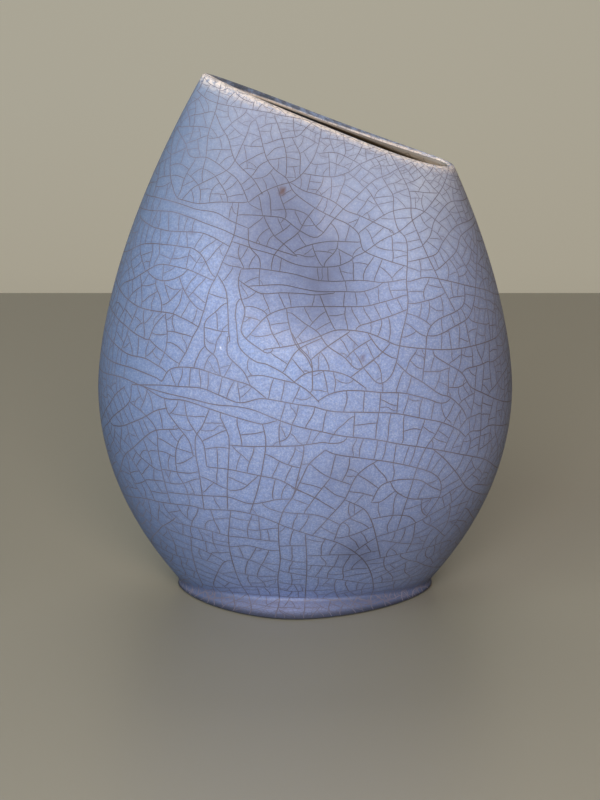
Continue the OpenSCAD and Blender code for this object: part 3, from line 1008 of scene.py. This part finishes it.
# Main lines on the front: points (x, height) in mm, one after another. The back has them upside down.
# A program worked them out, to 0.5 mm, from 692 pixel positions read in the photograph.
MAIN_LINES = [
    (-60.5,155.5, -50,157.5, -42,156.5, -38,155.5, -30.5,153.5, -25.5,151.5, -21,150, -14,147.5, -10,146, -3,143.5),
    (-54.5,151, -50.5,151, -46,151.5, -39,152, -34.5,151, -30,149),
    (-26.5,149.5, -21.5,148, -19,147, -14,145.5, -10,144, -5,141.5, 1.5,140, 11,140, 17,142),
    (-54.5,161, -50.5,161, -45.5,160.5, -40,159.5, -33,159, -27.5,156.5, -21,154),
    (-45.5,162, -39.5,161.5, -32,162.5, -24.5,162.5),
    (-44,164, -41.5,166.5, -37,169, -33,171, -28.5,173.5, -26,176.5, -24,180.5, -21.5,185.5, -20.5,188.5, -19,190),
    (-32,199, -33,194, -34.5,189.5, -36,185, -36.5,180.5),
    (-41,199.5, -37.5,197, -33.5,195.5, -27.5,194.5, -20.5,193.5, -14.5,192.5),
    (-47.5,184.5, -44.5,180.5, -43.5,177.5, -41.5,176.5, -37,177, -33,175.5, -30,173.5, -25.5,170.5, -23,167,
     -21,162.5),
    (-32.5,190, -31,187, -28.5,183.5, -26,176.5, -19.5,170.5, -17,167),
    (-18.5,190.5, -17,186, -15.5,180.5, -14,176.5, -11,173, -7,170, -4,165, 3.5,159.5, 10.5,156, 15.5,154, 19.5,151,
     20.5,147.5, 22,145, 30,142.5, 37.5,140.5),
    (-14.5,182, -9,183.5, -3,184, 0,186.5, 2,188),
    (-10,187.5, -8,182, -7,177.5, -7,173),
    (-4,182, -2,178, -2,173),
    (-21,162.5, -18,164.5, -14,166.5, -9,168, -4.5,169, -1,171.5, 2,175, 3.5,177.5, 5,181.5, 6,186),
    (-1,171.5, 4.5,170.5, 10.5,170, 16,171.5, 18.5,173),
    (4.5,178, 11.5,178, 18.5,175),
    (-5.5,168.5, -0.5,165.5, 4.5,164, 10.5,161.5, 15,158.5, 20,157, 25,155, 30,153, 32.5,152),
    (-12.5,157.5, -8,156.5, -2,152, 4.5,149.5, 10.5,155.5, 15,160, 18.5,163, 25,168.5, 30.5,170.5, 34,172, 40,174),
    (-14,155, -11.5,151, -8,148, -3,143.5),
    (-2,152, -4.5,150, -8,148, -11.5,144.5, -12.5,141),
    (-3.5,145.5, 1.5,147, 8.5,148, 14.5,148, 17.5,148),
    (-21,154, -20.5,148, -17,144, -16.5,140.5),
    (-25,158.5, -26,152.5, -28,147.5, -30.5,142.5, -32.5,138, -35,133.5, -36.5,128, -38,123.5),
    (-23.5,140.5, -24.5,136.5, -23.5,131, -22,127, -23,122.5),
    (-23.5,140.5, -17.5,140.5, -11.5,139.5, -4,138, 3.5,136, 11,135.5, 20.5,136, 28.5,135.5, 37,136.5),
    (-18.5,135, -9,135, -1.5,133.5, 5,132.5, 14,132.5, 20.5,132.5, 26,134, 28.5,135.5),
    (-24.5,137, -20.5,134.5, -16,132.5, -9,132.5, -1,132, 3.5,131.5, 11,132),
    (-18.5,121, -14.5,125, -10,127, -4,128, 5,128, 9,128, 21,128, 27,129, 31.5,130),
    (-7,128, -6,122.5, -3.5,116, 0.5,111.5, 2.5,107.5),
    (5,132, 7.5,126.5, 10.5,121),
    (-61.5,134, -57,137.5, -53,139.5, -46,139.5, -42,139, -37,137.5, -34,136.5),
    (-58.5,135.5, -55,134, -50.5,134.5, -45.5,137, -43,139.5),
    (-68,138.5, -62,143.5, -57,145.5, -49.5,146.5, -45,146.5, -41.5,146.5, -38,144.5, -35.5,140.5),
    (-71.5,126.5, -68,124.5, -62.5,123, -57,123, -49.5,123.5, -45,122.5),
    (-32.5,139, -29.5,134.5, -28.5,130, -28,120.5),
    (17.5,143, 22,145, 28,149, 34.5,152, 39.5,155.5, 44,158, 48,161.5, 51,164.5, 53,167.5),
    (32.5,175.5, 35.5,170.5, 38,166, 39,162, 39,158, 39.5,155.5, 41.5,151, 44,145.5, 47.5,138.5, 50.5,132.5,
     55.5,123),
    (19.5,151, 25,155, 31.5,158.5, 39,159.5, 44,158, 48,155, 52.5,151),
    (31,166, 32.5,163.5, 32.5,158.5, 34,153, 37,149.5, 37.5,143.5, 37,135.5, 37.5,130, 37,125, 35,117.5, 33.5,110,
     32.5,106.5),
    (37.5,135.5, 44,136.5, 50.5,135, 59,131.5, 67.5,127, 73,122),
    (24.5,123, 30.5,124.5, 37.5,126.5),
    (-13,114.5, -3.5,116, 4.5,118.5, 10.5,120.5, 16,120.5, 22.5,119.5, 28.5,117, 33.5,114.5, 44,112, 54.5,110,
     66,109),
    (2,111, 7.5,115, 16,120),
    (-5.5,126.5, -0.5,123, 4.5,120, 8,115.5, 14,111.5, 19,107, 24.5,110, 28,112.5, 30.5,115),
    (22.5,119.5, 27,113.5, 32,110),
    (60,158.5, 53.5,159.5, 48,155, 46,150, 43,147),
    (63.5,151.5, 56,151.5, 51,147.5, 48.5,144, 44.5,143, 37.5,142),
    (64,149.5, 58,148, 56,143.5, 51,140),
    (64.5,140, 64,135.5, 63,125.5, 60.5,120, 55,118),
    (59,132, 59,126, 56.5,123.5, 48.5,121.5, 45,118, 44,111, 43,101),
    (-78.5,92.5, -69.5,95.5, -60.5,95, -51,94.5, -42,94, -33.5,93, -25,93, -18.5,92, -10.5,89, -3,86.5, 5.5,84.5,
     13.5,82.5, 25,80.5, 33.5,78, 46.5,74, 59,68.5, 68.5,62.5, 75,53),
    (-72.5,106.5, -66.5,105, -59.5,105.5, -54.5,104),
    (-77.5,99.5, -73,99.5, -64.5,100.5, -55.5,99.5, -53.5,98.5),
    (-64.5,94.5, -54,97, -45.5,98, -38,98.5, -31,96.5, -24,94.5, -16.5,96.5, -10.5,96, -1.5,94.5, 2.5,94, 10,92,
     22.5,91, 33.5,89.5, 44,86, 50.5,83.5, 56.5,79.5, 59.5,76),
    (-60.5,95, -52.5,92.5, -44.5,93, -36.5,91.5, -28,89.5, -19,87.5, -15.5,87, -10.5,88.5),
    (-53,98.5, -50.5,103, -46.5,105, -39.5,105.5, -32,104, -25.5,102.5, -20,101, -14,96.5),
    (-52,91, -51,87.5, -47.5,83, -43,77.5, -41.5,71.5),
    (-44.5,93, -43.5,86.5, -40.5,81.5, -37.5,77, -36.5,67.5),
    (-35,91.5, -38,84, -40.5,79.5, -40.5,72, -39.5,65.5, -38.5,55.5, -38,48.5),
    (-31.5,89, -28.5,82.5, -28,78, -28.5,68.5, -29,59.5, -29,51),
    (-15.5,86.5, -14.5,80, -15.5,71.5, -17.5,61, -20.5,50),
    (-28,78, -21,78, -14,78.5, -3.5,79, 0.5,79.5),
    (-36,68, -28,68, -17.5,66.5, -9.5,65, -3.5,61.5, 5.5,56.5),
    (-66,87.5, -60,84.5, -55.5,79.5, -55,71.5, -54,64, -52.5,56),
    (-65,94.5, -66,87.5, -71.5,80.5),
    (-66.5,78.5, -60.5,83, -55.5,87, -51,89),
    (-63.5,71, -59,76.5, -55,79.5, -47.5,81.5),
    (-53.5,63.5, -44,64, -39.5,65.5),
    (-71.5,42.5, -62,47, -54.5,48, -43,49.5, -38,49, -28.5,50, -21.5,49.5, -14.5,47.5, -7,44, 1.5,40.5, 9.5,37.5,
     14,35, 19,30.5, 23,24.5, 25.5,17, 26.5,8, 25.5,3),
    (-44.5,54.5, -35.5,55.5, -28.5,56, -21.5,54, -17,54.5, -10.5,56.5, -4.5,57),
    (-46,34, -38.5,33, -29,32, -21.5,33.5, -14.5,32, -10,32),
    (-45.5,39.5, -37.5,39, -29,37.5, -23,37.5, -16.5,37),
    (-28.5,44, -29,35.5, -28,25, -25.5,13, -23,6.5),
    (-10,46, -10,37.5, -9.5,27, -10.5,16, -10,4),
    (0,40.5, 0.5,29.5, 0.5,19, 0,4.5),
    (-1.5,72, -3,65.5, -4.5,58.5, -8,52, -10,45),
    (-37,119, -36.5,113.5, -32.5,110, -31,104),
    (-28.5,116, -28.5,112, -26.5,109.5, -22.5,106, -20,101),
    (-25,120.5, -24,114.5, -18.5,110, -14,109, -8,106, -3.5,102.5, 0.5,100, 5,95.5),
    (-21,104.5, -16,105, -10.5,104, -3.5,102.5),
    (-5,120, -2,115, 2,110.5, 2.5,104),
    (-8,106.5, -3,114, 5.5,118),
    (7,77.5, 11,75.5, 20.5,73.5, 31,71, 40.5,67.5, 47,64, 50.5,59.5, 50.5,53, 46.5,46),
    (24.5,54.5, 27.5,61, 32,63, 37.5,63, 43,61.5, 47,58, 50.5,55.5),
    (31.5,62.5, 33.5,58.5, 38.5,54.5, 45,53, 50.5,52.5),
    (24.5,54.5, 28,54.5, 32.5,58),
    (50.5,83.5, 48,79, 44.5,74.5, 41.5,67.5, 39.5,60, 37,50.5, 34.5,40),
    (47,74, 52,68.5, 57,61, 61,53.5, 65.5,48.5, 69.5,44.5),
    (4.5,96, 9,98.5, 14.5,99.5, 21.5,99, 27.5,98, 35.5,97, 42.5,94.5),
    (-3.5,103.5, 0,106, 5,107, 10.5,106.5, 16,104.5, 22,100),
    (16,104, 21,107.5, 25,110),
    (21,107.5, 26.5,101.5, 31,103.5, 33.5,109.5),
    (34.5,107, 38,103.5, 43,100, 49.5,94.5, 53.5,92.5, 58,87.5, 60,83.5),
    (52.5,105, 58,100.5, 61.5,94.5, 66.5,90.5, 72.5,85.5, 79,80),
    (18,91.5, 17.5,82.5),
    (21.5,99, 21,91),
    (27.5,98, 27,91),
    (34,97, 33.5,90),
    (33.5,78.5, 32.5,71),
    (36,88, 36,78.5),
    (1.5,72, 7.5,67, 16.5,63),
    (26.5,72, 21.5,69, 18,65, 14.5,56.5, 9,49, 2.5,40),
    (7.5,77.5, 1.5,72, -1.5,65.5, -5,57),
    (9.5,66.5, 4,58.5, -0.5,51),
    (-5.5,62, 2,58.5, 8.5,54),
    (14.5,56.5, 21.5,52, 24.5,46.5, 26.5,38.5, 28.5,27.5),
    (21.5,52, 16.5,48, 13,45, 11,38),
    (-2.5,50.5, 3,50, 7.5,48.5, 13,45),
    (25.5,47, 30,47.5, 34,47.5, 39,46, 42,42),
    (26.5,38, 34.5,40, 42,42.5, 46.5,44.5),
    (19,31.5, 23,35, 26.5,37.5),
    (23,25.5, 32,27, 41.5,27.5, 49,28),
    (-6,20, 4,17.5, 14,15.5, 24.5,12, 34,11.5),
    (1.5,29.5, 9.5,30, 19,29.5),
    (66.5,89, 66,83.5, 66,76.5, 65.5,70),
    (57.5,79.5, 60.5,82.5, 65,83),
    (59.5,75, 62,77, 66,76, 70,76.5, 76.5,72.5),
]


def line_mesh(name, field, lines):
    """Thin closed slivers along every second spot of the craze lines: a flat face just over the glaze and a keel
    in it, tapered at the ends."""
    c = bpy.context.scene.vase_crackle
    parts = []
    for number, (spots, weight) in enumerate(lines):
        picked = spots[:-1][::2] + [spots[-1]]
        if len(picked) < 2:
            continue
        p, n = field.points(picked)
        run = run_along(p)
        taper = ramp(np.minimum(run, run[-1] - run), 0, TAPER)
        low = 1.14 - 0.38 * ramp(p[:, 2], 0.11, 0.07)
        parts.append((p, n, c.width * weight * low * (0.55 + 0.45 * taper), np.full(len(p), number)))
    p, n, w, owner = (np.concatenate(values) for values in zip(*parts))
    w = w[:, None]
    same_next = np.append(owner[1:] == owner[:-1], False)
    same_last = np.insert(owner[1:] == owner[:-1], 0, False)
    ahead = np.where(same_next[:, None], np.roll(p, -1, 0), p)
    behind = np.where(same_last[:, None], np.roll(p, 1, 0), p)
    side = units(np.cross(n, units(ahead - behind, TINY)), TINY)
    left, right = p + side * w / 2 + n * c.lift, p - side * w / 2 + n * c.lift
    verts = np.stack([left, right, p - n * c.keel], 1).reshape(-1, 3)
    k = np.flatnonzero(same_next) * 3
    quads = np.concatenate([np.stack([k + i, k + j, k + 3 + j, k + 3 + i], -1) for i, j in ((0, 1), (1, 2), (2, 0))])
    first, last = np.flatnonzero(~same_last) * 3, np.flatnonzero(~same_next) * 3
    caps = np.concatenate([np.stack([first, first + 2, first + 1], -1), np.stack([last, last + 1, last + 2], -1)])
    made = mesh_object(name, verts, quads, caps)
    # violet-grey patches, mostly painted shade: the craze lines darken there too
    store(made, violet=0.8 * spots_of(PATCHES, verts[:, 0], verts[:, 2]))
    return made


# Operators

class VASE_OT_clay(bpy.types.Operator):
    """Foot ring, floor and wall of bare fired clay"""
    bl_idname = "vase.clay"
    bl_label = "Clay"

    def execute(self, context):
        s = sizes()
        clay = clay_material()
        columns, ground = CLAY_COLUMNS, np.zeros((1, 1))
        ring_out = np.concatenate([
            foot_point(angles(columns), ground, s.glaze + s.foot_bevel),
            foot_rows(columns, 5, s.glaze),
            outer_rows(columns, 1, s.glaze, 0.0)[:1]])
        ring_in = np.concatenate([
            foot_point(angles(columns), ground, s.ring_width),
            outer_rows(columns, 1, s.ring_width, 0.0)[:1]])
        place(closed_skin("clay_foot_ring", ring_out, ring_in), clay, "bare_clay", "foot_ring")
        floor_top = s.foot_height + s.floor_thickness
        disc, lid = (inner_rows(columns, 1, z, 0.0, 0.0)[:1] for z in (s.foot_height, floor_top))
        place(capped_stack("clay_floor", np.concatenate([disc, lid])), clay, "bare_clay", "base_floor")
        outside = outer_rows(columns, 80, s.glaze, s.edge_drop + s.lip_glaze_thickness)
        lip = lip_rows(columns, 6, s.lip_glaze_thickness)[1:-1]
        inside = inner_rows(columns, 70, floor_top, 0.0, s.lip_slope + s.lip_glaze_thickness)
        wall = closed_skin("clay_wall", np.concatenate([outside, lip]), np.concatenate([disc, inside]))
        place(wall, clay, "bare_clay", "body_wall")
        return {"FINISHED"}


def outer_glaze(skin):
    """The blue glaze and what its material reads: where it is thin, and where shade, light and a contact shadow are
    painted. Returns it with the rows of the fine grid that it keeps."""
    s = sizes()
    kept = np.concatenate([np.arange(FINE_ROWS), np.arange(FINE_ROWS, len(skin), 2)])
    outside = skin[kept, ::2]
    columns = outside.shape[1]
    inside = np.concatenate([foot_rows(columns, 4, s.glaze),
                             outer_rows(columns, 40, s.glaze, s.edge_drop + s.lip_glaze_thickness)])
    made = closed_skin("crackle_glaze", outside, inside)
    x, y, z = np.moveaxis(np.concatenate([outside, inside[::-1]]), -1, 0)
    across, front = x / half_width(z), y < 0
    below = mouth_height(x) - s.edge_drop - z
    under_rim = np.clip(below, 0, None)
    on_foot = bell(z, 1.3 * s.foot_height, 4)
    middle = bell(x + s.corner_left, 1.9 * s.corner_half_width)
    # painted shade low on the sides, and a painted shadow along the crease over the foot
    low_side = 0.48 * bell(z - 0.028, 0.026) * np.clip(np.abs(across), 0, 1) ** 3
    low_side += 0.45 * bell(z - 0.92 * s.foot_height, 0.0007)
    high = ramp(z, 0.130, 0.050)
    store(made,
          rim=np.clip(below / (0.0034 - 0.0023 * ramp(x, -0.030, 0.025)), 0, 4),
          peach=1 - 0.45 * ramp(x, -0.035, 0.030),
          # paler where the glaze thins under the rim, and pale patches of painted light right of the hollow
          thin=0.75 * np.exp(-under_rim / 0.010) + spots_of(THIN_PATCHES, x, z),
          fine=np.clip(0.8 * np.exp(-under_rim / 0.007) + 0.9 * on_foot, 0, 1),
          # painted shade where the sides turn away from the light
          left_side=0.36 * ramp(-across, 0.50, 0.50),
          right_side=0.15 * ramp(across, 0.45, 0.45),
          lilac=0.6 * on_foot * middle,
          # painted contact shadow along the glaze's lower edge
          dirt=0.85 * ramp(s.glaze_edge + 0.0009 - z, 0, 0.0007),
          # painted shade on the foot except at its front middle, with the low shade
          dusk=np.clip(0.98 * bell(z, 1.8 * s.foot_height) * (1 - middle) + low_side, 0, 1),
          high=0.38 * high * high * (3 - 2 * high),
          # painted light on the bulges beside the hollow and low in front
          bright=spots_of(BRIGHT_PATCHES, x, z),
          # violet-grey patches, mostly painted shade in the hollows and at the sides, weaker at the back
          violet=spots_of(PATCHES, x, z) * np.where(front, 1.0, 0.6),
          speck=spots_of(SPECKS, x, z) * front)
    return made, kept


def lip_glaze(lip):
    """The glaze band on the lip, with its place along the lip and how near it is to an edge."""
    s = sizes()
    under = lip_rows(s.columns, 6, s.lip_glaze_thickness)
    made = closed_skin("lip_band", lip, under)
    across = np.concatenate([rows_between(len(lip) - 1), rows_between(len(under) - 1)[::-1]])
    x, y, _ = np.moveaxis(np.concatenate([lip, under[::-1]]), -1, 0)
    front = y < 0
    outer_edge = np.where(front, 1.0, 0.5) * bell(across, np.where(front, 0.45, 0.12))
    inner = 0.10 + np.where(front, 0, 0.45) * ramp(x, 0.005, 0.045)
    store(made, edge=outer_edge + bell(1 - across, inner, 4), along=np.clip(x / s.crown_width + 0.3, 0, 1))
    return made


def liner_glaze():
    """The pale glaze inside, with its depth under the lip in mm, and under the part that stays cream, by which its
    material paints shade.
    """
    s = sizes()
    floor_top = s.foot_height + s.floor_thickness
    clay_side = inner_rows(CLAY_COLUMNS, 70, floor_top, 0.0, s.lip_slope + s.lip_glaze_thickness)
    room_side = inner_rows(CLAY_COLUMNS, 90, floor_top + s.liner, s.liner, s.lip_slope)
    made = bag("pale_liner", clay_side, room_side)
    both = np.concatenate([clay_side.reshape(-1, 3), room_side.reshape(-1, 3), np.zeros((2, 3))])
    x = both[:, 0]
    below = (mouth_height(x) - s.lip_slope - both[:, 2]) / MM
    # the painted shade starts lower towards the mouth's low end
    cream_depth = 0.06 * np.clip(x / MM - 5, -10, None) + 0.5
    store(made, below=below, deep=below - cream_depth, along=ramp(x, 0.002, 0.020))
    return made


class VASE_OT_glaze(bpy.types.Operator):
    """Blue glaze outside, glaze over the lip, pale glaze inside, and the craze lines"""
    bl_idname = "vase.glaze"
    bl_label = "Glazes and craze lines"

    def execute(self, context):
        skin, lip = glaze_grid()
        made, kept = outer_glaze(skin)
        field, lines = craze_lines(skin, lip)
        near = np.zeros(len(made.data.vertices))
        outside = np.exp(-field.free / TOUCH)[kept, ::2].ravel()
        near[:outside.size] = outside
        store(made, stain=near)
        place(made, blue_glaze(), "crackle_glaze", "outer_glaze")
        place(lip_glaze(lip), lip_material(), "lip_glaze", "lip_glaze")
        place(liner_glaze(), liner_material(), "liner_glaze", "liner_glaze")
        stain = line_material()
        for name, low, high in (("long_craze_lines", 0.8, 2.0), ("fine_craze_lines", 0.0, 0.8)):
            chosen = [line for line in lines if low <= line[1] < high]
            place(line_mesh(name, field, chosen), stain, "crackle_glaze")
        return {"FINISHED"}


AIM = (0.0, 0.0, 0.1)
# The first three began as a fit of test renders to the photograph, and their tints are strong for studio light.
LAMPS = [  # name, place, width, depth, power and tint; each is turned to AIM
    ("front_soft_box", (0.0, -0.953, 0.65), 0.5, 0.5, 9.3, (1.0, 0.83, 0.68)),
    ("left_soft_box", (-0.275, -1.026, 0.385), 0.5, 0.5, 4.3, (0.18, 0.58, 1.0)),
    ("high_soft_box", (-0.475, -0.608, 0.892), 0.5, 0.5, 2.6, (0.88, 1.0, 0.88)),
    ("small_lamp", (-0.91, -1.23, 0.43), 0.03, 0.03, 0.9),
    ("back_soft_box", (0.0, 0.62, 0.95), 0.6, 0.5, 2.6, (1.0, 0.96, 0.92)),
    ("overhead_soft_box", (0.0, 0.05, 1.3), 0.6, 0.6, 0.8)]


def plain_material(name, base, roughness, glow=0.0):
    """A plain stage material with a faint unevenness. A glow shows to the camera and in gloss, and lights nothing."""
    n = Nodes(name)
    n.set(base_color=n.coats(base, (n.times(n.noise(8.0), 0.06), [0.8 * v for v in base])), roughness=roughness)
    if glow:
        path = n.add("LightPath").outputs
        seen = n.plus(n.plus(path["Is Camera Ray"], path["Is Glossy Ray"]), path["Is Transmission Ray"])
        n.set(emission_color=(*base, 1.0), emission_strength=n.times(seen, glow))
    return n.material


def sheet(corners, material):
    """A flat sheet for the stage, with its material's name."""
    made = mesh_object(material.name, np.array(corners), np.arange(4)[None, :])
    made.data.materials.append(material)
    return made


def soft_box(name, spot, width, depth, power, tint=(1, 1, 1)):
    """An area lamp at a spot, turned to the middle of the vase."""
    lamp = bpy.data.lights.new(name, "AREA")
    lamp.shape, lamp.size, lamp.size_y, lamp.energy, lamp.color = "RECTANGLE", width, depth, power, tint
    made = bpy.data.objects.new(name, lamp)
    made.location = spot
    x, y, z = np.array(AIM) - np.array(spot, float)
    made.rotation_euler = (math.atan2(math.hypot(x, y), -z), 0, math.atan2(y, x) - math.pi / 2)
    bpy.context.collection.objects.link(made)


class VASE_OT_stage(bpy.types.Operator):
    """Floor, backdrop, lamps and camera"""
    bl_idname = "vase.stage"
    bl_label = "Stage"

    def execute(self, context):
        f, scene = finish(), context.scene
        near, seam, far, half, low, high = -2.5, 0.4435, 1.6, 3.0, -1, 3
        floor = sheet([(-half, near, 0), (half, near, 0), (half, seam, 0), (-half, seam, 0)],
                      plain_material("floor", f.floor, 0.38))
        wall = sheet([(-half, far, low), (-half, far, high), (half, far, high), (half, far, low)],
                     plain_material("backdrop", f.wall, 0.8, 0.30))
        for lamp in LAMPS:
            soft_box(*lamp)
        scene.world = bpy.data.worlds.new("room")
        scene.world.use_nodes = True
        background = scene.world.node_tree.nodes["Background"].inputs
        background["Color"].default_value = (0.80, 0.79, 0.76, 1)
        background["Strength"].default_value = 0.10
        camera = bpy.data.cameras.new("camera")
        camera.lens, camera.sensor_width = 108.0, 36.0
        scene.camera = bpy.data.objects.new("camera", camera)
        scene.camera.location = (-0.002, -0.8923, 0.3616)
        scene.camera.rotation_euler = (math.radians(72.3), 0, 0)
        context.collection.objects.link(scene.camera)
        scene.view_settings.view_transform = "Standard"
        return {"FINISHED"}


class VASE_PT_panel(bpy.types.Panel):
    """Buttons for the parts of the vase"""
    bl_label = "Crackle vase"
    bl_idname = "VASE_PT_panel"
    bl_space_type = "VIEW_3D"
    bl_region_type = "UI"
    bl_category = "Vase"

    def draw(self, context):
        for operator in OPERATORS:
            self.layout.operator(operator.bl_idname)
        for key in SETTINGS:
            settings = getattr(context.scene, key)
            for name in settings.__annotations__:
                self.layout.prop(settings, name, text=name.replace("_", " ").capitalize())


SETTINGS = {"vase_sizes": VaseSizes, "vase_hollows": HollowSizes, "vase_finish": VaseFinish,
            "vase_crackle": VaseCrackle}
OPERATORS = (VASE_OT_clay, VASE_OT_glaze, VASE_OT_stage)


def register():
    """Registers the settings, the operators and the panel."""
    for name, group in SETTINGS.items():
        bpy.utils.register_class(group)
        setattr(bpy.types.Scene, name, PointerProperty(type=group))
    for cls in (*OPERATORS, VASE_PT_panel):
        bpy.utils.register_class(cls)


def unregister():
    """Takes back what register did."""
    for cls in (VASE_PT_panel, *reversed(OPERATORS)):
        bpy.utils.unregister_class(cls)
    for name, group in reversed(SETTINGS.items()):
        delattr(bpy.types.Scene, name)
        bpy.utils.unregister_class(group)


def main():
    """Builds the vase and its stage."""
    register()
    for build in (bpy.ops.vase.clay, bpy.ops.vase.glaze, bpy.ops.vase.stage):
        build()


if __name__ == "__main__":
    main()
